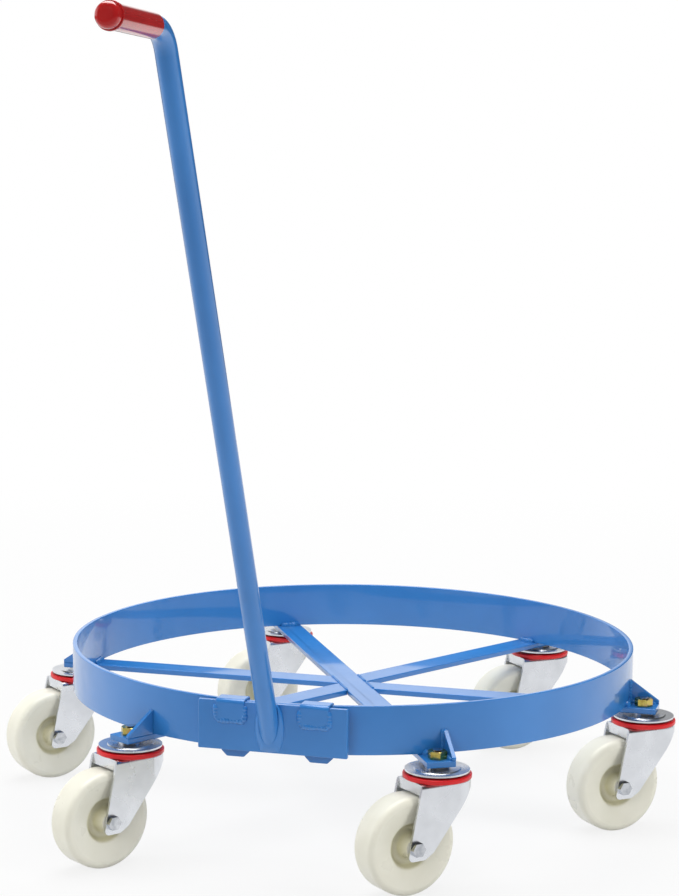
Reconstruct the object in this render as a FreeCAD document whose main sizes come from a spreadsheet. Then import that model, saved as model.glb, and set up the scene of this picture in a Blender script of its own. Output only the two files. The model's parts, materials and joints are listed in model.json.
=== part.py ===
import FreeCAD, Part
import Sketcher
import os
import re

# Driving dimensions: lengths in millimetres, angles in degrees
SIZES = {
    # Drum ring, a flat bar rolled on edge
    "ring_bore": 610,
    "ring_wall": 5,
    "ring_height": 50,
    # Cross arms, flat bars that run under the ring and carry the casters on their ends
    "arm_width": 30,
    "arm_thick": 6,
    "caster_offset": 17,
    "lug_reach": 15,
    "gusset_height": 25,
    "gusset_toe": 3,
    "gusset_thick": 4,
    "weld_gap": 0.1,
    # Way each wheel trails at rest, anticlockwise from the X axis
    "heading_angle_1": 222,
    "heading_angle_2": 220,
    "heading_angle_3": 225,
    "heading_angle_4": 226,
    "heading_angle_5": 235,
    "heading_angle_6": 227,
    # Swivel head and its ball race
    "head_diameter": 65,
    "head_thick": 2.5,
    "head_step": 0.8,
    "step_diameter": 46,
    "boss_diameter": 24,
    "boss_height": 3,
    "ball_diameter": 8,
    "ball_circle": 31,
    "race_depth": 0.5,
    "race_gap": 0.15,
    # King pin, the hollow rivet that keeps the fork on the head
    "king_diameter": 20,
    "king_flange": 34,
    "king_flange_thick": 3,
    "swivel_gap": 0.3,
    # Mounting bolt and its nut
    "bolt_diameter": 10,
    "bolt_flats": 17,
    "bolt_head": 6.4,
    "bolt_proud": 1,
    "nut_height": 8,
    "nut_chamfer": 1,
    "bolt_gap": 0.25,
    "thread_gap": 0.05,
    # Dust seal between head and fork
    "seal_diameter": 69,
    "seal_bore": 42,
    "seal_gap": 2.2,
    "seal_seat": 0.1,
    "seal_round": 1.2,
    # Fork, pressed from sheet, with room over the wheel
    "wheel_clearance": 9.5,
    "fork_gap": 40,
    "fork_thick": 3,
    "fork_trail": 38,
    "crown_front": 36,
    "crown_back": 32,
    "crown_bend": 4,
    "lip_depth": 11,
    "skirt_depth": 11,
    "skirt_land": 8,
    "leg_rear": 10,
    "leg_front": 20,
    "leg_drop": 12.5,
    "leg_round": 5,
    # Axle bolt, sleeve and nut
    "axle_diameter": 8,
    "axle_flats": 13,
    "axle_head": 5.3,
    "axle_proud": 1.5,
    "axle_nut": 8,
    "sleeve_diameter": 12,
    "bearing_gap": 0.1,
    # Wheel
    "wheel_diameter": 100,
    "wheel_width": 34,
    "tread_round": 7,
    "rim_land": 0.5,
    "rim_round": 2,
    "dish_thick": 24,
    "well_run": 4,
    "well_round": 4,
    "web_thick": 10,
    "web_run": 6,
    "hub_diameter": 19,
    "hub_flare": 3.5,
    "hub_gap": 0.5,
    # Handle plate and the two hooks that hang it on the ring
    "plate_width": 155,
    "plate_height": 50,
    "plate_thick": 5,
    "plate_offset": 2.5,
    "hook_width": 30,
    "hook_thick": 2,
    "hook_inset": 34,
    "hook_pad": 20,
    "hook_depth": 61,
    "hook_chamfer": 6,
    "hook_bend": 4,
    "hook_gap": 0.5,
    "hook_seat": 0.2,
    # Push tube and grip
    "tube_diameter": 20,
    "tube_wall": 2,
    "tube_lean_angle": 25,
    "tube_foot": 24,
    "tube_bend": 35,
    "grip_height": 830,
    "grip_rise_angle": 2.7,
    "grip_setback": 6,
    "grip_length": 106,
    "grip_diameter": 22,
    "grip_wall": 4,
    "grip_gap": 0.1,
    "bead_diameter": 24.5,
    "bead_width": 4,
    "bead_inset": 9,
    "bead_round": 1,
    "dome_round": 6,
}

# Casters stand at an even pitch, in degrees; the through arm lies along one of their directions
STATION_ANGLE = 60
THROUGH_ANGLE = 2 * STATION_ANGLE
MITRE_ANGLE = STATION_ANGLE / 2
BALLS_PER_RACE = 10
FULL_ANGLE = 360
HEX_SIDES = 6
HEX_CORNER_ANGLE = FULL_ANGLE / HEX_SIDES / 2

# Stations, anticlockwise from above: number, direction, and the side to which the half arm is set.
# The half arms on one side of the through arm stand side by side, so each is set off by a quarter width.
STATIONS = [(number, STATION_ANGLE * (number - 1), side) for number, side in
            [(1, -1), (2, 1), (3, 0), (4, -1), (5, 1), (6, 0)]]
HALF_ARM_NAMES = {1: "right_half_arm", 2: "rear_right_half_arm", 4: "left_half_arm", 5: "front_left_half_arm"}

# Formulas shared by several pieces
RING_OUTER = "(ring_bore / 2 + ring_wall)"
CASTER_RADIUS = f"({RING_OUTER} + caster_offset)"
ARM_END = f"({CASTER_RADIUS} + lug_reach)"
BOLT_HOLE = "(bolt_diameter / 2 + bolt_gap)"
AXLE_HOLE = "(axle_diameter / 2 + bolt_gap)"
# Levels below the arms' underside
HEAD_BASE = "(-boss_height - head_thick)"
RACE_SPACE = "(ball_diameter - 2 * race_depth)"
BALL_LEVEL = f"({HEAD_BASE} - {RACE_SPACE} / 2)"
CROWN_TOP = f"({HEAD_BASE} - {RACE_SPACE})"
CROWN_BASE = f"({CROWN_TOP} - fork_thick)"
FLANGE_TOP = f"({CROWN_BASE} - swivel_gap)"
FLANGE_BASE = f"({FLANGE_TOP} - king_flange_thick)"
# The wheel and all that stands over it set the height of the arms above the floor
CASTER_HEIGHT = f"(wheel_diameter + wheel_clearance - {CROWN_BASE})"
ARM_TOP = f"({CASTER_HEIGHT} + arm_thick)"
RING_TOP = f"({ARM_TOP} + ring_height)"
# Fork, seen from the side
AXLE_DROP = f"({CASTER_HEIGHT} - wheel_diameter / 2)"
FORK_FOOT = f"(-{AXLE_DROP} - leg_drop)"
FORK_HALF = "(fork_gap / 2 + fork_thick)"
FORK_NOSE = f"({FORK_HALF} - crown_front)"
LEG_BACK = "(fork_trail + leg_rear)"
# Wheel, from the hub's flared foot out through the well to the dished face, and the rim round that
HUB_FOOT = "(hub_diameter / 2 + hub_flare)"
WELL_RADIUS = f"({HUB_FOOT} + web_run)"
DISH_RADIUS = f"({WELL_RADIUS} + well_run)"
RIM_RADIUS = "(wheel_diameter / 2 - tread_round - rim_land)"
# Handle, seen from the side: distances along Y, negative away from the drum
PLATE_FACE = f"(-{RING_OUTER} - hook_gap - plate_thick)"
HOOK_PLACE = "(plate_width / 2 - hook_inset)"
HOOK_SIDE = f"({HOOK_PLACE} + hook_width / 2 + plate_offset)"
HOOK_INSIDE = f"(hook_gap - sqrt((ring_bore / 2) ^ 2 - {HOOK_SIDE} ^ 2))"
TUBE_RISE = f"(grip_height - {ARM_TOP} - tube_foot)"
BEND_CORNER = f"({PLATE_FACE} - {TUBE_RISE} * tan(tube_lean_angle))"
BEND_RUN = "(tube_bend * tan((90 - tube_lean_angle - grip_rise_angle) / 2))"
GRIP_RUN = f"({BEND_RUN} + grip_setback)"

doc = FreeCAD.newDocument("drum_trolley")
sheet = doc.addObject("Spreadsheet::Sheet", "Sizes")
for row, (alias, number) in enumerate(SIZES.items(), 1):
    sheet.set(f"A{row}", alias)
    sheet.set(f"B{row}", str(number))
    sheet.setAlias(f"B{row}", alias)
doc.recompute()

sub_parts = []
UPRIGHT = FreeCAD.Vector(0, 0, 1)
LEFTWARD = FreeCAD.Vector(-1, 0, 0)


def formula(text):
    """Point every size named in a formula at its cell of the sheet."""
    return re.sub(r"[a-z][a-z_0-9]*", lambda word: "Sizes." + word[0] if word[0] in SIZES else word[0], text)


def value(text):
    return float(sheet.evalExpression(formula(text)))


def bind(thing, name, text):
    thing.setExpression(name, formula(text))


def place(thing, x="0", y="0", z="0", turn="0", axis=UPRIGHT):
    """Put a piece at its place, turned about the vertical or another axis."""
    thing.Placement = FreeCAD.Placement(FreeCAD.Vector(), FreeCAD.Rotation(axis, value(turn)))
    if turn in SIZES:
        bind(thing, "Placement.Rotation.Angle", turn)
    for name, text in (("x", x), ("y", y), ("z", z)):
        bind(thing, "Placement.Base." + name, text)


def new_body(label):
    body = doc.addObject("PartDesign::Body", label)
    body.Label = label
    return body


def new_sketch(body, plane, level="0"):
    """Start a sketch on one of the body's own planes, raised along the plane's normal."""
    sketch = body.newObject("Sketcher::SketchObject", "Sketch")
    support = next(item for item in body.Origin.OriginFeatures if item.Role == plane)
    sketch.AttachmentSupport = [(support, "")]
    sketch.MapMode = "FlatFace"
    bind(sketch, "AttachmentOffset.Base.z", level)
    return sketch


def pin(sketch, geometry, point, x, y):
    """Hold a point of the sketch at two formulas from the origin."""
    for kind, text in (("DistanceX", x), ("DistanceY", y)):
        row = sketch.addConstraint(Sketcher.Constraint(kind, -1, 1, geometry, point, value(text)))
        bind(sketch, f"Constraints[{row}]", text)


def outline(sketch, corners):
    """Close a chain of lines through corners given as pairs of formulas."""
    first = sketch.GeometryCount
    count = len(corners)
    points = [FreeCAD.Vector(value(x), value(y), 0) for x, y in corners]
    for index, start in enumerate(points):
        sketch.addGeometry(Part.LineSegment(start, points[(index + 1) % count]), False)
    for index, (x, y) in enumerate(corners):
        following = first + (index + 1) % count
        sketch.addConstraint(Sketcher.Constraint("Coincident", first + index, 2, following, 1))
        pin(sketch, first + index, 1, x, y)


def rectangle(sketch, low_x, low_y, high_x, high_y):
    outline(sketch, [(low_x, low_y), (high_x, low_y), (high_x, high_y), (low_x, high_y)])


def circle(sketch, x, y, radius):
    centre = FreeCAD.Vector(value(x), value(y), 0)
    index = sketch.addGeometry(Part.Circle(centre, FreeCAD.Vector(0, 0, 1), value(radius)), False)
    pin(sketch, index, 3, x, y)
    row = sketch.addConstraint(Sketcher.Constraint("Radius", index, value(radius)))
    bind(sketch, f"Constraints[{row}]", radius)


def hexagon(sketch, flats):
    corners = []
    for index in range(HEX_SIDES):
        angle = index * FULL_ANGLE / HEX_SIDES
        reach = f"{flats} / 2 / cos({HEX_CORNER_ANGLE})"
        corners.append([f"{reach} * {turn}({angle})" for turn in ("cos", "sin")])
    outline(sketch, corners)


def pad(body, sketch, length, side="One side", reverse=False):
    feature = body.newObject("PartDesign::Pad", "Pad")
    feature.Profile = sketch
    feature.SideType = side
    feature.Reversed = reverse
    bind(feature, "Length", length)
    return feature


def cut_through(body, sketch, side="One side"):
    """Cut a sketch through the whole piece and make sure that something was cut."""
    doc.recompute()
    before = body.Shape.Volume
    feature = body.newObject("PartDesign::Pocket", "Pocket")
    feature.Profile = sketch
    feature.Type = "ThroughAll"
    feature.SideType = side
    doc.recompute()
    if body.Shape.Volume >= before:
        raise ValueError(f"a cut in {body.Label} removes nothing")
    return feature


def revolve(body, sketch, axis):
    feature = body.newObject("PartDesign::Revolution", "Revolution")
    feature.Profile = sketch
    feature.ReferenceAxis = (sketch, [axis])
    feature.Angle = FULL_ANGLE
    return feature


def turn_off(body, sketch):
    """Turn a sketch's section away all round the body's upright axis and make sure that something went."""
    doc.recompute()
    before = body.Shape.Volume
    groove = body.newObject("PartDesign::Groove", "Groove")
    groove.Profile = sketch
    groove.ReferenceAxis = (sketch, ["V_Axis"])
    groove.Angle = FULL_ANGLE
    doc.recompute()
    if body.Shape.Volume >= before:
        raise ValueError(f"turning {body.Label} removes nothing")


def cut_race(body, level):
    """Turn the ball groove into a swivel race."""
    sketch = new_sketch(body, "XZ_Plane")
    circle(sketch, "ball_circle / 2", level, "ball_diameter / 2 + race_gap")
    turn_off(body, sketch)


def ease_edges(body, kind, size_name, size, wanted):
    """Round or chamfer the edges of a body for which wanted is true."""
    doc.recompute()
    base = body.Tip
    edges = [f"Edge{index}" for index, edge in enumerate(base.Shape.Edges, 1) if wanted(edge)]
    if not edges:
        raise ValueError(f"no edge of {body.Label} to ease")
    feature = body.newObject(kind, "Ease")
    feature.Base = (base, edges)
    bind(feature, size_name, size)
    doc.recompute()
    if "Invalid" in feature.State or feature.Shape.isNull():
        raise ValueError(f"the edges of {body.Label} can't be eased by {size}")


def fillet(body, radius, wanted):
    ease_edges(body, "PartDesign::Fillet", "Radius", radius, wanted)


def same(first, second):
    return abs(first - second) < 1e-4


def is_circle(edge, radius):
    return isinstance(edge.Curve, Part.Circle) and same(edge.Curve.Radius, radius)


def runs_along(edge, axis):
    """True for a straight edge parallel to the axis numbered 0, 1 or 2."""
    if not isinstance(edge.Curve, Part.Line):
        return False
    return same(abs(edge.Curve.Direction[axis]), 1)


def keep(piece):
    sub_parts.append(piece)
    return piece


def group(label, members):
    """Gather identical pieces into one sub-part of separate solids."""
    compound = doc.addObject("Part::Compound", label)
    compound.Label = label
    compound.Links = members
    return keep(compound)


def station_point(direction, side):
    """Formulas of a caster's axis: along its arm, and across by the arm's set-off."""
    x = f"({CASTER_RADIUS} * cos({direction}) - {side} * arm_width / 4 * sin({direction}))"
    y = f"({CASTER_RADIUS} * sin({direction}) + {side} * arm_width / 4 * cos({direction}))"
    return x, y


def axle_point(number, direction, side):
    """Formulas of a wheel's centre, which trails behind the caster's axis."""
    x, y = station_point(direction, side)
    heading = f"heading_angle_{number}"
    return f"{x} + fork_trail * cos({heading})", f"{y} + fork_trail * sin({heading})"


# Welded frame

def drum_ring():
    body = new_body("drum_ring")
    sketch = new_sketch(body, "XY_Plane")
    circle(sketch, "0", "0", "ring_bore / 2")
    circle(sketch, "0", "0", RING_OUTER)
    pad(body, sketch, "ring_height")
    place(body, z=ARM_TOP)
    keep(body)


def through_arm():
    body = new_body("through_arm")
    sketch = new_sketch(body, "XY_Plane")
    rectangle(sketch, f"-{ARM_END}", "-arm_width / 2", ARM_END, "arm_width / 2")
    circle(sketch, CASTER_RADIUS, "0", BOLT_HOLE)
    circle(sketch, f"-{CASTER_RADIUS}", "0", BOLT_HOLE)
    pad(body, sketch, "arm_thick")
    place(body, z=CASTER_HEIGHT, turn=str(THROUGH_ANGLE))
    keep(body)


def half_arm(number, direction, side):
    """A flat bar from the through arm's edge, past the ring, to its caster."""
    body = new_body(HALF_ARM_NAMES[number])
    low = f"({side} * arm_width / 4 - arm_width / 2)"
    high = f"({side} * arm_width / 4 + arm_width / 2)"
    mitre = f"(arm_width / 2 + {{}} * {{}} * sin({MITRE_ANGLE})) / cos({MITRE_ANGLE}) + weld_gap"
    sketch = new_sketch(body, "XY_Plane")
    outline(sketch, [(mitre.format(side, low), low), (ARM_END, low), (ARM_END, high),
                     (mitre.format(side, high), high)])
    circle(sketch, CASTER_RADIUS, f"{side} * arm_width / 4", BOLT_HOLE)
    pad(body, sketch, "arm_thick")
    place(body, z=CASTER_HEIGHT, turn=str(direction))
    keep(body)


def gusset_plate(direction, side):
    """A corner plate on an arm's anticlockwise edge, up against the outside of the ring."""
    body = new_body("gusset_plate")
    near = f"({side} * arm_width / 4 + arm_width / 2 - gusset_thick)"
    foot = f"(sqrt({RING_OUTER} ^ 2 - {near} ^ 2) + weld_gap)"
    sketch = new_sketch(body, "XZ_Plane", f"-{near} - gusset_thick / 2")
    outline(sketch, [(foot, "0"), (ARM_END, "0"), (ARM_END, "gusset_toe"), (foot, "gusset_height")])
    pad(body, sketch, "gusset_thick", "Symmetric")
    place(body, z=ARM_TOP, turn=str(direction))
    return body


# Casters: the pieces that stay with the frame

def swivel_head(number, direction, side):
    """The pressed disc that bears on the arm and carries the upper ball race."""
    body = new_body(f"swivel_head_{number}")
    sketch = new_sketch(body, "XZ_Plane")
    shoulder = "-boss_height"
    step = "(-boss_height - head_step)"
    outline(sketch, [
        (BOLT_HOLE, "0"), ("boss_diameter / 2", "0"), ("boss_diameter / 2", shoulder),
        ("step_diameter / 2", shoulder), ("step_diameter / 2 + head_step", step), ("head_diameter / 2", step),
        ("head_diameter / 2", HEAD_BASE), (BOLT_HOLE, HEAD_BASE)])
    revolve(body, sketch, "V_Axis")
    cut_race(body, BALL_LEVEL)
    place(body, *station_point(direction, side), CASTER_HEIGHT)
    keep(body)


def king_pin(direction, side):
    """The hollow rivet: a sleeve through the fork's crown with a flange under it."""
    body = new_body("king_pin")
    sketch = new_sketch(body, "XZ_Plane")
    outline(sketch, [
        (BOLT_HOLE, HEAD_BASE), ("king_diameter / 2", HEAD_BASE), ("king_diameter / 2", FLANGE_TOP),
        ("king_flange / 2", FLANGE_TOP), ("king_flange / 2", FLANGE_BASE), (BOLT_HOLE, FLANGE_BASE)])
    revolve(body, sketch, "V_Axis")
    place(body, *station_point(direction, side), CASTER_HEIGHT)
    return body


def mounting_bolt(direction, side):
    """A hexagon bolt up through king pin, head and arm."""
    body = new_body("mounting_bolt")
    head = new_sketch(body, "XY_Plane", FLANGE_BASE)
    hexagon(head, "bolt_flats")
    pad(body, head, "bolt_head", reverse=True)
    shank = new_sketch(body, "XY_Plane", FLANGE_BASE)
    circle(shank, "0", "0", "bolt_diameter / 2")
    pad(body, shank, f"-{FLANGE_BASE} + arm_thick + nut_height + bolt_proud")
    place(body, *station_point(direction, side), CASTER_HEIGHT, str(direction))
    return body


def arm_nut(direction, side):
    """The hexagon nut on top of the arm, its upper corners turned off."""
    body = new_body("arm_nut")
    flats = new_sketch(body, "XY_Plane")
    hexagon(flats, "bolt_flats")
    circle(flats, "0", "0", "bolt_diameter / 2 + thread_gap")
    pad(body, flats, "nut_height")
    corner = f"bolt_flats / 2 / cos({HEX_CORNER_ANGLE})"
    turned = new_sketch(body, "XZ_Plane")
    beyond = f"{corner} + nut_chamfer"
    outline(turned, [(f"{corner} - nut_chamfer", "nut_height"), (beyond, "nut_height - nut_chamfer"),
                     (beyond, "nut_height")])
    turn_off(body, turned)
    place(body, *station_point(direction, side), ARM_TOP, str(direction))
    return body


def race_balls(direction, side):
    """The balls of one swivel race, on a circle under the head."""
    x, y = station_point(direction, side)
    balls = []
    for index in range(BALLS_PER_RACE):
        angle = FULL_ANGLE / BALLS_PER_RACE * index
        ball = doc.addObject("Part::Sphere", "ball")
        bind(ball, "Radius", "ball_diameter / 2")
        place(ball, f"{x} + ball_circle / 2 * cos({angle})", f"{y} + ball_circle / 2 * sin({angle})",
              f"{CASTER_HEIGHT} + {BALL_LEVEL}")
        balls.append(ball)
    return balls


# Casters: the pieces that swivel

def dust_seal(number, direction, side):
    """The coloured ring that stands on the fork's crown and closes the race."""
    body = new_body(f"dust_seal_{number}")
    low = f"({CROWN_TOP} + seal_seat)"
    high = f"({HEAD_BASE} - seal_gap)"
    sketch = new_sketch(body, "XZ_Plane")
    rectangle(sketch, "seal_bore / 2", low, "seal_diameter / 2", high)
    revolve(body, sketch, "V_Axis")
    rim = value("seal_diameter / 2")
    fillet(body, "seal_round", lambda edge: is_circle(edge, rim))
    place(body, *station_point(direction, side), CASTER_HEIGHT, f"heading_angle_{number}")
    keep(body)


def fork_shell(body):
    """The crown with a rounded nose, its legs, the skirt round the nose and the lip behind."""
    depth = f"{CROWN_TOP} - {FORK_FOOT}"
    sides = new_sketch(body, "XY_Plane", CROWN_TOP)
    rectangle(sides, FORK_NOSE, f"-{FORK_HALF}", LEG_BACK, FORK_HALF)
    pad(body, sides, depth, reverse=True)
    nose = new_sketch(body, "XY_Plane", CROWN_TOP)
    circle(nose, FORK_NOSE, "0", FORK_HALF)
    pad(body, nose, depth, reverse=True)
    top = value(CROWN_TOP)
    rear = value(LEG_BACK)

    def on_crown_rim(edge):
        box = edge.BoundBox
        return same(box.ZMin, top) and same(box.ZMax, top) and not same(box.XMin, rear)

    fillet(body, "crown_bend", on_crown_rim)
    under_crown = f"{CROWN_TOP} - fork_thick"
    inside = new_sketch(body, "XY_Plane", under_crown)
    rectangle(inside, FORK_NOSE, "-fork_gap / 2", "crown_back - fork_thick", "fork_gap / 2")
    cut_through(body, inside)
    inside_nose = new_sketch(body, "XY_Plane", under_crown)
    circle(inside_nose, FORK_NOSE, "0", "fork_gap / 2")
    cut_through(body, inside_nose)
    behind = new_sketch(body, "XY_Plane", CROWN_TOP)
    rectangle(behind, "crown_back", "-fork_gap / 2", f"{LEG_BACK} + fork_thick", "fork_gap / 2")
    cut_through(body, behind)
    under_lip = new_sketch(body, "XY_Plane", f"{CROWN_TOP} - lip_depth")
    rectangle(under_lip, "crown_back - 2 * fork_thick", "-fork_gap / 2", LEG_BACK, "fork_gap / 2")
    cut_through(body, under_lip)


def trim_legs(body):
    """Cut the legs to their outline, seen from the side."""
    below = f"({FORK_FOOT} - leg_drop)"
    skirt = f"({CROWN_TOP} - skirt_depth)"
    back = new_sketch(body, "XZ_Plane")
    outline(back, [("crown_back", CROWN_TOP), (f"{LEG_BACK} + leg_rear", CROWN_TOP),
                   (f"{LEG_BACK} + leg_rear", FORK_FOOT), (LEG_BACK, FORK_FOOT)])
    cut_through(body, back, "Symmetric")
    front = new_sketch(body, "XZ_Plane")
    outline(front, [
        ("-2 * crown_front", skirt), ("skirt_land - crown_front", skirt),
        ("fork_trail - leg_front", f"-{AXLE_DROP} - leg_drop / 2"), ("fork_trail - leg_front / 2", FORK_FOOT),
        ("fork_trail - leg_front / 2", below), ("-2 * crown_front", below)])
    cut_through(body, front, "Symmetric")


def fork(number, direction, side):
    body = new_body(f"fork_{number}")
    fork_shell(body)
    trim_legs(body)
    axle = new_sketch(body, "XZ_Plane")
    circle(axle, "fork_trail", f"-{AXLE_DROP}", AXLE_HOLE)
    cut_through(body, axle, "Symmetric")
    king = new_sketch(body, "XY_Plane", CROWN_TOP)
    circle(king, "0", "0", "king_diameter / 2 + swivel_gap")
    cut_through(body, king)
    cut_race(body, BALL_LEVEL)
    corners = [(value(LEG_BACK), value(FORK_FOOT)), (value("fork_trail - leg_front / 2"), value(FORK_FOOT)),
               (value("fork_trail - leg_front"), value(f"-{AXLE_DROP} - leg_drop / 2"))]

    def on_leg_corner(edge):
        centre = edge.CenterOfMass
        return runs_along(edge, 1) and any(same(centre.x, x) and same(centre.z, z) for x, z in corners)

    fillet(body, "leg_round", on_leg_corner)
    place(body, *station_point(direction, side), CASTER_HEIGHT, f"heading_angle_{number}")
    keep(body)


def axle_bolt(number, direction, side):
    """A hexagon bolt through both legs, its head on the left of the way the wheel trails."""
    body = new_body(f"axle_bolt_{number}")
    head = new_sketch(body, "XZ_Plane", f"-{FORK_HALF}")
    hexagon(head, "axle_flats")
    pad(body, head, "axle_head", reverse=True)
    shank = new_sketch(body, "XZ_Plane", f"-{FORK_HALF}")
    circle(shank, "0", "0", "axle_diameter / 2")
    pad(body, shank, f"2 * {FORK_HALF} + axle_nut + axle_proud")
    place(body, *axle_point(number, direction, side), "wheel_diameter / 2", f"heading_angle_{number}")
    keep(body)


def axle_nut(number, direction, side):
    body = new_body(f"axle_nut_{number}")
    sketch = new_sketch(body, "XZ_Plane", FORK_HALF)
    hexagon(sketch, "axle_flats")
    circle(sketch, "0", "0", "axle_diameter / 2 + thread_gap")
    pad(body, sketch, "axle_nut")
    place(body, *axle_point(number, direction, side), "wheel_diameter / 2", f"heading_angle_{number}")
    keep(body)


def axle_sleeve(number, direction, side):
    """The tube that the axle bolt clamps between the legs and on which the wheel runs."""
    body = new_body(f"axle_sleeve_{number}")
    sketch = new_sketch(body, "XZ_Plane")
    circle(sketch, "0", "0", "sleeve_diameter / 2")
    circle(sketch, "0", "0", AXLE_HOLE)
    pad(body, sketch, "fork_gap", "Symmetric")
    place(body, *axle_point(number, direction, side), "wheel_diameter / 2", f"heading_angle_{number}")
    keep(body)


# Casters: the pieces that roll

def wheel(number, direction, side):
    """A moulded wheel with dished faces and a flared hub as wide as the fork allows."""
    body = new_body(f"wheel_{number}")
    bore = "sleeve_diameter / 2 + bearing_gap"
    hub_end = "(fork_gap / 2 - hub_gap)"
    half = [(hub_end, bore), (hub_end, "hub_diameter / 2"), ("web_thick / 2", HUB_FOOT),
            ("web_thick / 2", WELL_RADIUS), ("dish_thick / 2", DISH_RADIUS),
            ("wheel_width / 2", RIM_RADIUS), ("wheel_width / 2", "wheel_diameter / 2")]
    other_half = [(f"-{y}", radius) for y, radius in reversed(half)]
    sketch = new_sketch(body, "YZ_Plane")
    outline(sketch, half + other_half)
    revolve(body, sketch, "H_Axis")
    for rounding, *circles in (("tread_round", "wheel_diameter / 2"), ("rim_round", RIM_RADIUS),
                               ("well_round", DISH_RADIUS, WELL_RADIUS, HUB_FOOT)):
        radii = [value(radius) for radius in circles]
        fillet(body, rounding, lambda edge: any(is_circle(edge, radius) for radius in radii))
    place(body, *axle_point(number, direction, side), "wheel_diameter / 2", f"heading_angle_{number}")
    keep(body)


# Lift-off handle

def handle_plate():
    body = new_body("handle_plate")
    sketch = new_sketch(body, "XZ_Plane", f"-{PLATE_FACE} - plate_thick")
    rectangle(sketch, "-plate_width / 2", "0", "plate_width / 2", "plate_height")
    pad(body, sketch, "plate_thick")
    place(body, "plate_offset", z=ARM_TOP)
    keep(body)


def hook_strap(label, side):
    """A flat bar welded on the plate, bent over the ring's top edge and down its inside."""
    body = new_body(label)
    outer = f"({PLATE_FACE} - hook_thick)"
    inner = f"({HOOK_INSIDE} + hook_thick)"
    bridge = "(hook_seat + hook_thick)"
    sketch = new_sketch(body, "YZ_Plane")
    outline(sketch, [
        (outer, "-hook_pad"), (outer, bridge), (inner, bridge), (inner, "-hook_depth"),
        (HOOK_INSIDE, "-hook_depth"), (HOOK_INSIDE, "hook_seat"), (PLATE_FACE, "hook_seat"),
        (PLATE_FACE, "-hook_pad")])
    pad(body, sketch, "hook_width", "Symmetric")
    crest = value(bridge)
    tip = value("-hook_depth")

    def on_bend(edge):
        return runs_along(edge, 0) and same(edge.CenterOfMass.z, crest)

    def on_tip(edge):
        return runs_along(edge, 1) and same(edge.CenterOfMass.z, tip)

    fillet(body, "hook_bend", on_bend)
    ease_edges(body, "PartDesign::Chamfer", "Size", "hook_chamfer", on_tip)
    place(body, f"plate_offset + {side} * {HOOK_PLACE}", "0", RING_TOP)
    keep(body)


def along_grip(distance):
    """Formulas of a point on the grip's axis, so far from where it meets the tube's."""
    return (f"({BEND_CORNER} - {distance} * cos(grip_rise_angle))",
            f"(tube_foot + {TUBE_RISE} + {distance} * sin(grip_rise_angle))")


def tube_path(sketch, start, bend_start, bend_end, end):
    """The tube's centre line: up the slope, round the bend and out along the grip."""
    points = [FreeCAD.Vector(value(x), value(y), 0) for x, y in (start, bend_start, bend_end, end)]
    centre = FreeCAD.Vector(value(f"{bend_end[0]} - tube_bend * sin(grip_rise_angle)"),
                            value(f"{bend_end[1]} - tube_bend * cos(grip_rise_angle)"), 0)
    sweep_start = (points[1] - centre).getAngle(FreeCAD.Vector(1, 0, 0))
    sweep_end = (points[2] - centre).getAngle(FreeCAD.Vector(1, 0, 0))
    ring = Part.Circle(centre, FreeCAD.Vector(0, 0, 1), value("tube_bend"))
    sketch.addGeometry(Part.LineSegment(points[0], points[1]), False)
    sketch.addGeometry(Part.ArcOfCircle(ring, sweep_start, sweep_end), False)
    sketch.addGeometry(Part.LineSegment(points[2], points[3]), False)
    pin(sketch, 0, 1, *start)
    pin(sketch, 0, 2, *bend_start)
    pin(sketch, 2, 1, *bend_end)
    pin(sketch, 2, 2, *end)
    sketch.addConstraint(Sketcher.Constraint("Coincident", 0, 2, 1, 1))
    sketch.addConstraint(Sketcher.Constraint("Coincident", 1, 2, 2, 1))
    row = sketch.addConstraint(Sketcher.Constraint("Radius", 1, value("tube_bend")))
    bind(sketch, f"Constraints[{row}]", "tube_bend")


def push_tube():
    """A round tube, bent once, whose foot is cut slanting to lie on the plate's face."""
    body = new_body("push_tube")
    spare = "(tube_diameter / tan(tube_lean_angle))"
    start = (f"{PLATE_FACE} + {spare} * sin(tube_lean_angle)", f"tube_foot - {spare} * cos(tube_lean_angle)")
    bend_start = (f"{BEND_CORNER} + {BEND_RUN} * sin(tube_lean_angle)",
                  f"tube_foot + {TUBE_RISE} - {BEND_RUN} * cos(tube_lean_angle)")
    bend_end = along_grip(BEND_RUN)
    end = along_grip(f"({GRIP_RUN} + grip_length - grip_wall - grip_gap)")
    path = new_sketch(body, "YZ_Plane")
    tube_path(path, start, bend_start, bend_end, end)
    section = new_sketch(body, "XY_Plane")
    section.AttachmentOffset = FreeCAD.Placement(
        FreeCAD.Vector(), FreeCAD.Rotation(FreeCAD.Vector(1, 0, 0), value("tube_lean_angle")))
    bind(section, "AttachmentOffset.Rotation.Angle", "tube_lean_angle")
    bind(section, "AttachmentOffset.Base.y", start[0])
    bind(section, "AttachmentOffset.Base.z", start[1])
    circle(section, "0", "0", "tube_diameter / 2")
    circle(section, "0", "0", "tube_diameter / 2 - tube_wall")
    pipe = body.newObject("PartDesign::AdditivePipe", "Pipe")
    pipe.Profile = section
    pipe.Spine = (path, ["Edge1", "Edge2", "Edge3"])
    reach = "(4 * tube_diameter)"
    foot = new_sketch(body, "YZ_Plane")
    outline(foot, [
        (PLATE_FACE, f"plate_height + {reach}"), (f"{PLATE_FACE} + {reach}", f"plate_height + {reach}"),
        (f"{PLATE_FACE} + {reach}", f"-{reach}"), (PLATE_FACE, f"-{reach}")])
    cut_through(body, foot, "Symmetric")
    place(body, z=ARM_TOP)
    keep(body)


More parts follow.
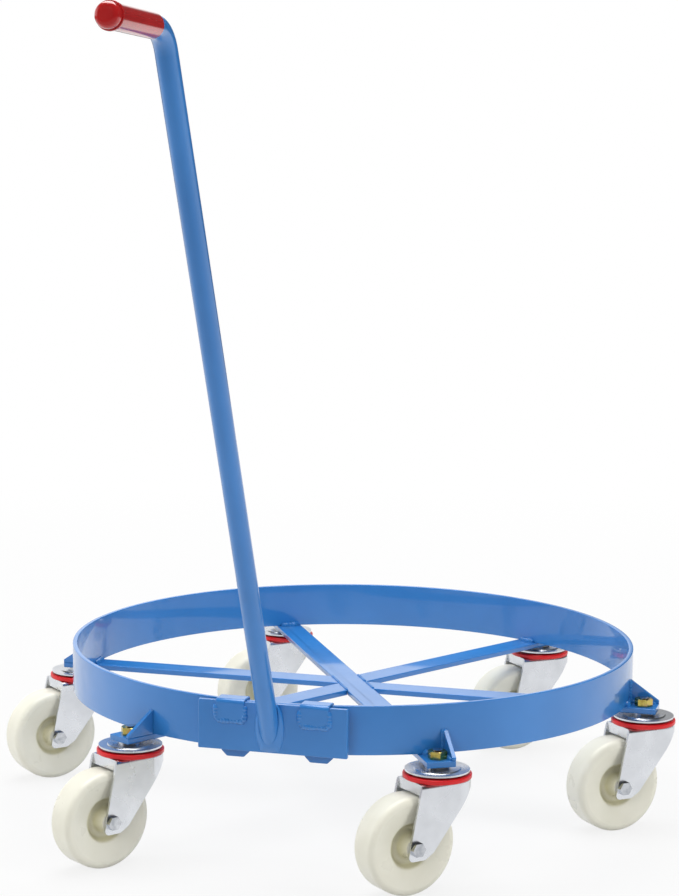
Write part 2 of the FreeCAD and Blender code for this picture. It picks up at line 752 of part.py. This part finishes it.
def grip():
    """A moulded sleeve with a bead before its domed, closed end."""
    body = new_body("grip")
    bore = "(tube_diameter / 2 + grip_gap)"
    skin = "grip_diameter / 2"
    bead_end = "(bead_inset - grip_length)"
    bead_start = "(bead_inset + bead_width - grip_length)"
    floor = "(grip_wall - grip_length)"
    sketch = new_sketch(body, "YZ_Plane")
    outline(sketch, [
        ("0", bore), ("0", skin), (bead_start, skin), (bead_start, "bead_diameter / 2"),
        (bead_end, "bead_diameter / 2"), (bead_end, skin), ("-grip_length", skin), ("-grip_length", "0"),
        (floor, "0"), (floor, bore)])
    revolve(body, sketch, "H_Axis")
    bead = value("bead_diameter / 2")
    end = value("-grip_length")

    def on_end(edge):
        return isinstance(edge.Curve, Part.Circle) and same(edge.Curve.Center.y, end)

    fillet(body, "bead_round", lambda edge: is_circle(edge, bead))
    fillet(body, "dome_round", on_end)
    grip_y, grip_rise = along_grip(GRIP_RUN)
    place(body, "0", grip_y, f"{ARM_TOP} + {grip_rise}", "grip_rise_angle", LEFTWARD)
    keep(body)


drum_ring()
through_arm()
for number, direction, side in STATIONS:
    if number in HALF_ARM_NAMES:
        half_arm(number, direction, side)
    swivel_head(number, direction, side)
    dust_seal(number, direction, side)
    fork(number, direction, side)
    axle_bolt(number, direction, side)
    axle_sleeve(number, direction, side)
    axle_nut(number, direction, side)
    wheel(number, direction, side)
for label, maker in (("gusset_plates", gusset_plate), ("king_pins", king_pin),
                     ("mounting_bolts", mounting_bolt), ("mounting_nuts", arm_nut)):
    group(label, [maker(direction, side) for number, direction, side in STATIONS])
group("bearing_balls", [ball for number, direction, side in STATIONS for ball in race_balls(direction, side)])
handle_plate()
hook_strap("left_hook_strap", -1)
hook_strap("right_hook_strap", 1)
push_tube()
grip()

doc.recompute()
for item in doc.Objects:
    if "Invalid" in item.State or "Error" in item.State:
        raise RuntimeError(f"{item.Label} failed to build: {item.State}")
for piece in sub_parts:
    if piece.Shape.isNull() or not piece.Shape.isValid():
        raise RuntimeError(f"{piece.Label} has no valid shape")

os.makedirs("parts", exist_ok=True)
for piece in sub_parts:
    piece.Shape.exportStep(f"parts/{piece.Label}.step")
print(f"{len(sub_parts)} sub-parts written")
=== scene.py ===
import json
import math

import bmesh
import bpy
from mathutils import Color, Euler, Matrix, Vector


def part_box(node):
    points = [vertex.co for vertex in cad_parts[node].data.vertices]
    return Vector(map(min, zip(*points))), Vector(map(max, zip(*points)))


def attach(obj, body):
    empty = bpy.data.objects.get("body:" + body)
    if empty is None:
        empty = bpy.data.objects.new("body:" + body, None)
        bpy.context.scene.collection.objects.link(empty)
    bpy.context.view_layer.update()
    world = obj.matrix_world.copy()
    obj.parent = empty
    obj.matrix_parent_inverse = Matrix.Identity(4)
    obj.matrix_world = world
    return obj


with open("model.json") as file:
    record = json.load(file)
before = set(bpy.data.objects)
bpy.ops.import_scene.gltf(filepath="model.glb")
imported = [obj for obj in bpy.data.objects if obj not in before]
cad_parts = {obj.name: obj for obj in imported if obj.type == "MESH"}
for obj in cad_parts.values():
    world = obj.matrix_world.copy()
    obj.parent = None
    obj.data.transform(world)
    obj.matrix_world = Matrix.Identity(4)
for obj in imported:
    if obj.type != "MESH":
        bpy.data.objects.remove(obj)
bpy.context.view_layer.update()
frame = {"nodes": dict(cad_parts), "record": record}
scene = bpy.context.scene

# Sizes that the frame's boxes do not give, in metres and degrees
RING_WALL = 0.005
ARM_WIDTH = 0.030
GUSSET_HEIGHT = 0.025
GUSSET_THICK = 0.004
LUG_REACH = 0.032
TUBE_RADIUS = 0.010
TUBE_LEAN = 25
TUBE_FOOT = 0.024
HOOK_PAD = 0.020

# Arm directions, anticlockwise from the X axis, with the side to which each arm is set off by a quarter width
ARMS = [(0, -1), (60, 1), (120, 0), (180, -1), (240, 1), (300, 0)]
ARM_BARS = ("through_arm", "right_half_arm", "rear_right_half_arm", "left_half_arm", "front_left_half_arm")
HOOK_STRAPS = ("left_hook_strap", "right_hook_strap")
HALF_WIDTH = ARM_WIDTH / 2
SET_OFF = ARM_WIDTH / 4
# The half arms butt on the through arm's edges, which run so many degrees off square to them
BUTT_ANGLE = math.radians(30)

# Levels and radii taken from the frame
ring_low, ring_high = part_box("drum_ring")
RING_OUTER = ring_high.x
RING_INNER = RING_OUTER - RING_WALL
ARM_TOP = ring_low.z
ARM_END = RING_OUTER + LUG_REACH


# Materials

FULL_LEVEL = 255
WHITE = (1, 1, 1, 1)
NOISE_MIDDLE = (0.3, 0.7)
CLOUD_DETAIL = 4.0
GRAIN_DETAIL = 0.0
# The gloss drifts over patches so many times wider than the grain
GLOSS_PATCH = 4
COAT_ROUGHNESS = 0.06
# Painted shade in a piece's own hollows: how far around a place its shelter is felt, and the shares of open
# air between which the painted shade fades
PAINTED_SHADE_REACH = 0.03
PAINTED_SHADE_FADE = (0.45, 0.95)


def srgb(red, green, blue):
    """A colour as read off a screen, in the linear values that shaders take."""
    shown = Color((red / FULL_LEVEL, green / FULL_LEVEL, blue / FULL_LEVEL))
    return (*shown.from_srgb_to_scene_linear(), 1.0)


def new_material(name):
    material = bpy.data.materials.new(name)
    material.use_nodes = True
    tree = material.node_tree
    return material, tree, tree.nodes["Principled BSDF"]


def noise(tree, scale, detail):
    """Noise in the part's own coordinates, so that it stays on the piece as the piece moves."""
    coordinates = tree.nodes.new("ShaderNodeTexCoord")
    texture = tree.nodes.new("ShaderNodeTexNoise")
    texture.inputs["Scale"].default_value = scale
    texture.inputs["Detail"].default_value = detail
    tree.links.new(coordinates.outputs["Object"], texture.inputs["Vector"])
    return texture.outputs["Fac"]


def colour_over(tree, factor, *stops):
    """Colours along a factor; each stop is a place and a colour."""
    ramp = tree.nodes.new("ShaderNodeValToRGB")
    elements = ramp.color_ramp.elements
    for place, _ in stops[len(elements):]:
        elements.new(place)
    for element, (place, colour) in zip(elements, stops):
        element.position = place
        element.color = colour
    tree.links.new(factor, ramp.inputs["Fac"])
    return ramp.outputs["Color"]


def add_range(tree, factor, from_low, from_high, to_low, to_high):
    """A number that runs from one range to another and stops at its ends."""
    node = tree.nodes.new("ShaderNodeMapRange")
    node.inputs["From Min"].default_value = from_low
    node.inputs["From Max"].default_value = from_high
    node.inputs["To Min"].default_value = to_low
    node.inputs["To Max"].default_value = to_high
    tree.links.new(factor, node.inputs["Value"])
    return node.outputs["Result"]


def add_bump(tree, shader, height, strength, distance):
    bump = tree.nodes.new("ShaderNodeBump")
    bump.inputs["Strength"].default_value = strength
    bump.inputs["Distance"].default_value = distance
    tree.links.new(height, bump.inputs["Height"])
    tree.links.new(bump.outputs["Normal"], shader.inputs["Normal"])


def painted_hollow_shade(tree, colour, shade_tint):
    """The colour, multiplied by a painted shade tint where the piece has a hollow of its own."""
    shelter = tree.nodes.new("ShaderNodeAmbientOcclusion")
    shelter.only_local = True
    shelter.inputs["Distance"].default_value = PAINTED_SHADE_REACH
    shut, open_air = PAINTED_SHADE_FADE
    shade = colour_over(tree, shelter.outputs["AO"], (shut, shade_tint), (open_air, WHITE))
    mix = tree.nodes.new("ShaderNodeMix")
    mix.data_type = "RGBA"
    mix.blend_type = "MULTIPLY"
    mix.inputs["Factor"].default_value = 1.0
    tree.links.new(colour, mix.inputs["A"])
    tree.links.new(shade, mix.inputs["B"])
    return mix.outputs["Result"]


def finish_material(name, colours, cloud, roughness, grain, relief, metallic=0.0, coat=0.0, hollow_shade=None):
    """A material whose colour drifts in clouds, with a grain that shows in gloss and relief.

    colours are the stops over the clouds, cloud and grain are noise scales, roughness is the lowest and the
    highest, relief is the bump's strength and depth, and hollow_shade is a tint of painted shade for
    sheltered places."""
    material, tree, shader = new_material(name)
    colour = colour_over(tree, noise(tree, cloud, CLOUD_DETAIL), *colours)
    if hollow_shade:
        colour = painted_hollow_shade(tree, colour, hollow_shade)
    tree.links.new(colour, shader.inputs["Base Color"])
    patches = noise(tree, grain / GLOSS_PATCH, CLOUD_DETAIL)
    tree.links.new(add_range(tree, patches, *NOISE_MIDDLE, *roughness), shader.inputs["Roughness"])
    add_bump(tree, shader, noise(tree, grain, GRAIN_DETAIL), *relief)
    shader.inputs["Metallic"].default_value = metallic
    shader.inputs["Coat Weight"].default_value = coat
    shader.inputs["Coat Roughness"].default_value = COAT_ROUGHNESS
    return material


finishes = {
    "blue_paint": finish_material(
        "blue_powder_coat", [(0.36, srgb(40, 118, 191)), (0.64, srgb(50, 128, 203))],
        cloud=7, roughness=(0.30, 0.38), grain=160, relief=(0.008, 0.0004), coat=0.85),
    "zinc": finish_material(
        "bright_zinc_plate", [(0.34, srgb(222, 225, 230)), (0.66, srgb(232, 235, 240))],
        cloud=45, roughness=(0.24, 0.32), grain=160, relief=(0.010, 0.0003), metallic=1.0),
    "bolt_zinc": finish_material(
        "bolt_zinc_plate", [(0.34, srgb(178, 182, 188)), (0.66, srgb(214, 217, 222))],
        cloud=120, roughness=(0.16, 0.26), grain=300, relief=(0.010, 0.0002), metallic=1.0),
    "yellow_zinc": finish_material(
        "yellow_chromate",
        [(0.3, srgb(178, 150, 74)), (0.5, srgb(210, 194, 104)), (0.7, srgb(196, 156, 118))],
        cloud=130, roughness=(0.16, 0.26), grain=300, relief=(0.010, 0.0002), metallic=1.0),
    "seal_red": finish_material(
        "moulded_red_seal", [(0.36, srgb(206, 18, 26)), (0.64, srgb(218, 30, 36))],
        cloud=40, roughness=(0.28, 0.40), grain=300, relief=(0.02, 0.0002)),
    "grip_red": finish_material(
        "dipped_red_grip", [(0.36, srgb(176, 24, 26)), (0.64, srgb(192, 32, 32))],
        cloud=22, roughness=(0.16, 0.24), grain=120, relief=(0.010, 0.0004), coat=1.0),
    # Painted shade: the nylon is tinted darker in its own hollows, the dish and the well round the hub
    "wheel_nylon": finish_material(
        "ivory_nylon", [(0.34, srgb(230, 228, 212)), (0.66, srgb(237, 235, 221))],
        cloud=26, roughness=(0.26, 0.36), grain=160, relief=(0.010, 0.0003), hollow_shade=srgb(230, 227, 204)),
}

for subpart in frame["record"]["subparts"]:
    piece = frame["nodes"][subpart["node"]]
    piece.data.materials.clear()
    piece.data.materials.append(finishes[subpart["material_slot"]])


# Eased edges on the cut bars and plates

FINE_EASE = 0.0008
ARM_EASE = 0.0010
PLATE_EASE = 0.0012
EASE_SEGMENTS = 2
SHARP_ANGLE = math.radians(40)
SAME_PLACE = 0.00001


def ease_edges(node, width):
    """Round off the sharp edges of a piece, once its faces are joined at their corners."""
    piece = frame["nodes"][node]
    joined = piece.modifiers.new("joined_corners", "WELD")
    joined.merge_threshold = SAME_PLACE
    bevel = piece.modifiers.new("eased_edges", "BEVEL")
    bevel.width = width
    bevel.segments = EASE_SEGMENTS
    bevel.limit_method = "ANGLE"
    bevel.angle_limit = SHARP_ANGLE
    bevel.harden_normals = True


for node in ("drum_ring", "gusset_plates", *HOOK_STRAPS):
    ease_edges(node, FINE_EASE)
for node in ARM_BARS:
    ease_edges(node, ARM_EASE)
ease_edges("handle_plate", PLATE_EASE)

# The ring's rolled faces shade evenly from edge to edge
even = frame["nodes"]["drum_ring"].modifiers.new("even_faces", "WEIGHTED_NORMAL")
even.mode = "FACE_AREA_WITH_ANGLE"


# Weld beads: the ripple of each puddle, and a slower swelling along the run

BEAD_RADIUS = 0.0028
RING_BEAD_RADIUS = 0.0042
FINE_BEAD_RADIUS = 0.0014
PAD_BEAD_RADIUS = 0.0034
BEAD_SIDES = 12
RIPPLE_PITCH = 0.0034
RIPPLE_DEPTH = 0.08
RINGS_PER_RIPPLE = 5
FEWEST_STEPS = 4
SWELL_PITCH = 0.019
SWELL_DEPTH = 0.12


def along(points, step):
    """Points at an even step along a path of straight runs, with the distance of each from the start."""
    lengths = [(after - before).length for before, after in zip(points, points[1:])]
    total = sum(lengths)
    count = max(FEWEST_STEPS, round(total / step))
    walked = []
    for index in range(count + 1):
        distance = total * index / count
        left = distance
        run = 0
        while run < len(lengths) - 1 and left > lengths[run]:
            left -= lengths[run]
            run += 1
        walked.append((points[run].lerp(points[run + 1], left / lengths[run]), distance))
    return walked, total


def add_bead(mesh, path, radius):
    """One run of weld: a round bead with the ripple of each puddle and rounded ends."""
    walked, total = along(path, RIPPLE_PITCH / RINGS_PER_RIPPLE)
    turns = [math.tau * corner / BEAD_SIDES for corner in range(BEAD_SIDES)]
    side = None
    rings = []
    for index, (point, distance) in enumerate(walked[1:-1], 1):
        ahead = (walked[index + 1][0] - walked[index - 1][0]).normalized()
        side = ahead.orthogonal() if side is None else side - ahead * side.dot(ahead)
        side.normalize()
        across = ahead.cross(side)
        from_end = min(distance, total - distance)
        shortfall = max(0.0, 1 - from_end / radius)
        ripple = RIPPLE_DEPTH * math.sin(math.tau * distance / RIPPLE_PITCH)
        swell = SWELL_DEPTH * math.sin(math.tau * distance / SWELL_PITCH)
        reach = radius * (1 + ripple + swell) * math.sqrt(1 - shortfall ** 2)
        rings.append([mesh.verts.new(point + (side * math.cos(turn) + across * math.sin(turn)) * reach)
                      for turn in turns])
    start, end = mesh.verts.new(walked[0][0]), mesh.verts.new(walked[-1][0])
    for ring, following in zip(rings, rings[1:]):
        for corner in range(BEAD_SIDES):
            beside = (corner + 1) % BEAD_SIDES
            mesh.faces.new((ring[corner], ring[beside], following[beside], following[corner]))
    for corner in range(BEAD_SIDES):
        beside = (corner + 1) % BEAD_SIDES
        mesh.faces.new((start, rings[0][beside], rings[0][corner]))
        mesh.faces.new((end, rings[-1][corner], rings[-1][beside]))


def painted_piece(name, body, mesh):
    """A smooth piece of weld, painted with the rest."""
    for face in mesh.faces:
        face.smooth = True
    data = bpy.data.meshes.new(name)
    mesh.to_mesh(data)
    mesh.free()
    piece = bpy.data.objects.new(name, data)
    scene.collection.objects.link(piece)
    data.materials.append(finishes["blue_paint"])
    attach(piece, body)


def weld_piece(name, body, paths, radius):
    """A piece made of weld beads."""
    mesh = bmesh.new()
    for path in paths:
        add_bead(mesh, path, radius)
    painted_piece(name, body, mesh)


# Welds of the frame

def on_arm(direction, radial, lateral, height=ARM_TOP):
    """A point above an arm: so far out along it, and so far to its anticlockwise side."""
    turn = math.radians(direction)
    return Vector((radial * math.cos(turn) - lateral * math.sin(turn),
                   radial * math.sin(turn) + lateral * math.cos(turn), height))


def on_ring(direction, radius, lateral, height=ARM_TOP):
    """A point on a face of the ring, so far to the anticlockwise side of an arm's direction."""
    return on_arm(direction, math.sqrt(radius ** 2 - lateral ** 2), lateral, height)


def gusset_face(side):
    """Where the near face of an arm's gusset stands across the arm."""
    return side * SET_OFF + HALF_WIDTH - GUSSET_THICK


def ring_beads(direction, side):
    """Across the arm, inside the ring and outside it as far as the gusset."""
    middle = side * SET_OFF
    low_edge = middle - HALF_WIDTH + RING_BEAD_RADIUS
    high_edge = middle + HALF_WIDTH - RING_BEAD_RADIUS
    inside = [on_ring(direction, RING_INNER, lateral) for lateral in (low_edge, middle, high_edge)]
    outside = [on_ring(direction, RING_OUTER, lateral) for lateral in (low_edge, middle, gusset_face(side))]
    return [inside, outside]


def gusset_bead(direction, side):
    """Down the gusset's inner corner with the ring and out along its foot."""
    near = gusset_face(side)
    return [on_ring(direction, RING_OUTER, near, ARM_TOP + GUSSET_HEIGHT),
            on_ring(direction, RING_OUTER, near, ARM_TOP + BEAD_RADIUS),
            on_arm(direction, RING_OUTER + BEAD_RADIUS, near),
            on_arm(direction, ARM_END - BEAD_RADIUS, near)]


def on_butt(direction, side, lateral):
    """A point on the slanting joint where a half arm meets the through arm."""
    radial = (HALF_WIDTH + side * lateral * math.sin(BUTT_ANGLE)) / math.cos(BUTT_ANGLE)
    return on_arm(direction, radial, lateral)


def butt_bead(direction, side):
    """Along the joint of a half arm, from edge to edge."""
    return [on_butt(direction, side, side * SET_OFF - HALF_WIDTH + FINE_BEAD_RADIUS),
            on_butt(direction, side, side * SET_OFF + HALF_WIDTH - FINE_BEAD_RADIUS)]


weld_piece("ring_welds", "frame", [path for arm in ARMS for path in ring_beads(*arm)], RING_BEAD_RADIUS)
weld_piece("gusset_welds", "frame", [gusset_bead(*arm) for arm in ARMS], BEAD_RADIUS)
half_arms = [(direction, side) for direction, side in ARMS if side]
weld_piece("centre_welds", "frame", [butt_bead(*arm) for arm in half_arms], FINE_BEAD_RADIUS)


# Welds of the handle, on the plate's face

BEAD_SINK = 0.0008
FILLET_LEG = 0.0055
FILLET_BULGE = 0.0012
FILLET_STEPS = 72
FILLET_ROWS = 6

plate_low, plate_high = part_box("handle_plate")
weld_face = plate_low.y + BEAD_SINK
lean = math.radians(TUBE_LEAN)
up_the_tube = Vector((0, -math.sin(lean), math.cos(lean)))
off_the_plate = Vector((0, -1, 0))
cut_height = TUBE_RADIUS / math.sin(lean)


def pad_bead(strap):
    """Round the three free edges of a hook's pad."""
    strap_low, strap_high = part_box(strap)
    pad_low = plate_high.z - HOOK_PAD
    top = plate_high.z - PAD_BEAD_RADIUS
    corner = pad_low + PAD_BEAD_RADIUS
    outline = [(strap_low.x, top), (strap_low.x, corner), (strap_low.x + PAD_BEAD_RADIUS, pad_low),
               (strap_high.x - PAD_BEAD_RADIUS, pad_low), (strap_high.x, corner), (strap_high.x, top)]
    return [Vector((x, weld_face, z)) for x, z in outline]


def fillet_section(turn):
    """One section of the fillet round the tube's slanting cut: its corner, then its skin up to the tube."""
    edge = Vector((TUBE_RADIUS * math.sin(turn), weld_face,
                   ARM_TOP + TUBE_FOOT + cut_height * math.cos(turn)))
    outward = Vector((math.sin(turn) / TUBE_RADIUS, 0, math.cos(turn) / cut_height)).normalized()
    plate_toe = edge + outward * FILLET_LEG
    plate_toe.z = min(max(plate_toe.z, plate_low.z), plate_high.z)
    tube_leg = min(FILLET_LEG / math.sin(lean), (plate_high.z - edge.z) / math.cos(lean))
    tube_toe = edge + up_the_tube * tube_leg
    swelling = (outward + off_the_plate).normalized() * FILLET_BULGE
    shares = [row / FILLET_ROWS for row in range(FILLET_ROWS + 1)]
    skin = [plate_toe.lerp(tube_toe, share) + swelling * math.sin(math.pi * share) for share in shares]
    return [edge, *skin]


def tube_fillet():
    """The closed fillet all round the tube's foot, kept within the plate's edges."""
    mesh = bmesh.new()
    turns = [math.tau * step / FILLET_STEPS for step in range(FILLET_STEPS)]
    sections = [[mesh.verts.new(point) for point in fillet_section(turn)] for turn in turns]
    for section, following in zip(sections, sections[1:] + sections[:1]):
        for row, point in enumerate(section):
            mesh.faces.new((section[row - 1], point, following[row], following[row - 1]))
    bmesh.ops.recalc_face_normals(mesh, faces=mesh.faces)
    return mesh


weld_piece("hook_pad_welds", "handle", [pad_bead(strap) for strap in HOOK_STRAPS], PAD_BEAD_RADIUS)
painted_piece("tube_weld", "handle", tube_fillet())


# Floor and world

FLOOR_SPAN = 80.0
FLOOR_GREY = 0.62
FLOOR_ROUGHNESS = 0.9
# Share of plain white in the floor as the camera sees it, from near the object to far from it
WHITE_NEAR = 0.82
WHITE_FAR = 1.0
FADE = (0.7, 2.2)
# The same in reflections, where the floor is dimmer towards the camera and ends far off
MIRROR_NEAR = 0.95
MIRROR_FAR = 0.04
MIRROR_FADE = (3.6, 5.4)
MIRROR_FRONT = 0.22
FRONT_FADE = (-1.5, -0.3)
# The studio in reflections: white towards the back left, dim elsewhere and overhead
BRIGHT_SIDE = (-0.90, 0.43, 0.0)
BRIGHT_EDGE = (0.48, 0.60)
BRIGHT_LEVEL = 1.0
DIM_LEVEL = 0.04
OVERHEAD_EDGE = (0.30, 0.60)
# The even light that falls on the object from all round
WORLD_FILL = 0.36


def add_math(tree, operation, first, second):
    node = tree.nodes.new("ShaderNodeMath")
    node.operation = operation
    tree.links.new(first, node.inputs[0])
    tree.links.new(second, node.inputs[1])
    return node.outputs["Value"]


def mirror_rays(tree):
    """One where the ray comes by a reflection or through glass."""
    rays = tree.nodes.new("ShaderNodeLightPath").outputs
    return add_math(tree, "MAXIMUM", rays["Is Glossy Ray"], rays["Is Transmission Ray"])


def camera_rays(tree):
    return tree.nodes.new("ShaderNodeLightPath").outputs["Is Camera Ray"]


def make_floor():
    """A white floor that keeps the object's shadow and fades into the backdrop."""
    bpy.ops.mesh.primitive_plane_add(size=FLOOR_SPAN)
    floor = bpy.context.object
    floor.name = "floor"
    material, tree, shader = new_material("white_floor")
    shader.inputs["Base Color"].default_value = (FLOOR_GREY, FLOOR_GREY, FLOOR_GREY, 1)
    shader.inputs["Roughness"].default_value = FLOOR_ROUGHNESS
    shader.inputs["Specular IOR Level"].default_value = 0.0
    white = tree.nodes.new("ShaderNodeEmission")
    coordinates = tree.nodes.new("ShaderNodeTexCoord")
    distance = tree.nodes.new("ShaderNodeVectorMath")
    distance.operation = "LENGTH"
    tree.links.new(coordinates.outputs["Object"], distance.inputs[0])
    seen = add_range(tree, distance.outputs["Value"], *FADE, WHITE_NEAR, WHITE_FAR)
    split = tree.nodes.new("ShaderNodeSeparateXYZ")
    tree.links.new(coordinates.outputs["Object"], split.inputs["Vector"])
    far_off = add_range(tree, distance.outputs["Value"], *MIRROR_FADE, MIRROR_NEAR, MIRROR_FAR)
    in_front = add_range(tree, split.outputs["Y"], *FRONT_FADE, MIRROR_FRONT, MIRROR_NEAR)
    mirrored = add_math(tree, "MINIMUM", far_off, in_front)
    strength = add_math(tree, "MAXIMUM", camera_rays(tree), mirrored)
    tree.links.new(strength, white.inputs["Strength"])
    shown = add_math(tree, "MULTIPLY", camera_rays(tree), seen)
    mix = tree.nodes.new("ShaderNodeMixShader")
    tree.links.new(add_math(tree, "MAXIMUM", shown, mirror_rays(tree)), mix.inputs["Fac"])
    tree.links.new(shader.outputs["BSDF"], mix.inputs[1])
    tree.links.new(white.outputs["Emission"], mix.inputs[2])
    tree.links.new(mix.outputs["Shader"], tree.nodes["Material Output"].inputs["Surface"])
    floor.data.materials.append(material)


def make_world():
    """White for the camera, a studio with one bright side in reflections, and an even fill for all else."""
    world = bpy.data.worlds.new("studio")
    scene.world = world
    world.use_nodes = True
    tree = world.node_tree
    background = tree.nodes["Background"]
    background.inputs["Color"].default_value = WHITE
    coordinates = tree.nodes.new("ShaderNodeTexCoord")
    split = tree.nodes.new("ShaderNodeSeparateXYZ")
    tree.links.new(coordinates.outputs["Generated"], split.inputs["Vector"])
    towards = tree.nodes.new("ShaderNodeVectorMath")
    towards.operation = "DOT_PRODUCT"
    towards.inputs[1].default_value = BRIGHT_SIDE
    tree.links.new(coordinates.outputs["Generated"], towards.inputs[0])
    side = add_range(tree, towards.outputs["Value"], *BRIGHT_EDGE, DIM_LEVEL, BRIGHT_LEVEL)
    overhead = add_range(tree, split.outputs["Z"], *OVERHEAD_EDGE, BRIGHT_LEVEL, DIM_LEVEL)
    level = tree.nodes.new("ShaderNodeMix")
    tree.links.new(mirror_rays(tree), level.inputs["Factor"])
    level.inputs["A"].default_value = WORLD_FILL
    tree.links.new(add_math(tree, "MINIMUM", side, overhead), level.inputs["B"])
    strength = add_math(tree, "MAXIMUM", level.outputs["Result"], camera_rays(tree))
    tree.links.new(strength, background.inputs["Strength"])


make_floor()
make_world()


# Lamps, all aimed at the middle of the object; only the overhead one shows in reflections

LAMP_AIM = Vector((0.0, 0.0, 0.25))


def softbox(name, place, width, height, power, mirrored=False):
    data = bpy.data.lights.new(name, "AREA")
    data.shape = "RECTANGLE"
    data.size = width
    data.size_y = height
    data.energy = power
    lamp = bpy.data.objects.new(name, data)
    scene.collection.objects.link(lamp)
    lamp.visible_camera = False
    lamp.visible_glossy = mirrored
    lamp.location = place
    lamp.rotation_euler = (LAMP_AIM - Vector(place)).to_track_quat("-Z", "Y").to_euler()


softbox("overhead", place=(-0.3, 0.3, 2.8), width=2.2, height=2.0, power=62, mirrored=True)
softbox("back_panel", place=(-0.4, 2.5, 1.7), width=2.4, height=1.2, power=28)
softbox("left_panel", place=(-2.5, -0.9, 1.3), width=0.8, height=2.2, power=22)
softbox("right_strip", place=(2.5, -0.6, 1.3), width=0.35, height=2.2, power=27)
softbox("front_fill", place=(-0.6, -3.2, 1.9), width=1.6, height=1.6, power=24)


# Camera: where the photograph was taken from, with its heading, pitch and slight roll

CAMERA_PLACE = (0.6870, -2.5638, 0.7683)
CAMERA_HEADING = 15.37
LEVEL_TILT = 90
CAMERA_PITCH = -8.015
CAMERA_ROLL = 0.572
CAMERA_LENS = 97.85
FILM_HEIGHT = 36.0

camera_data = bpy.data.cameras.new("camera")
camera_data.sensor_fit = "VERTICAL"
camera_data.sensor_height = FILM_HEIGHT
camera_data.lens = CAMERA_LENS
camera = bpy.data.objects.new("camera", camera_data)
scene.collection.objects.link(camera)
camera.location = CAMERA_PLACE
tilt = math.radians(LEVEL_TILT + CAMERA_PITCH)
upright_view = Euler((tilt, 0, math.radians(CAMERA_HEADING)), "XYZ").to_matrix()
roll = Euler((0, 0, math.radians(CAMERA_ROLL)), "XYZ").to_matrix()
camera.rotation_euler = (upright_view @ roll).to_euler()
scene.camera = camera
scene.view_settings.view_transform = "Standard"
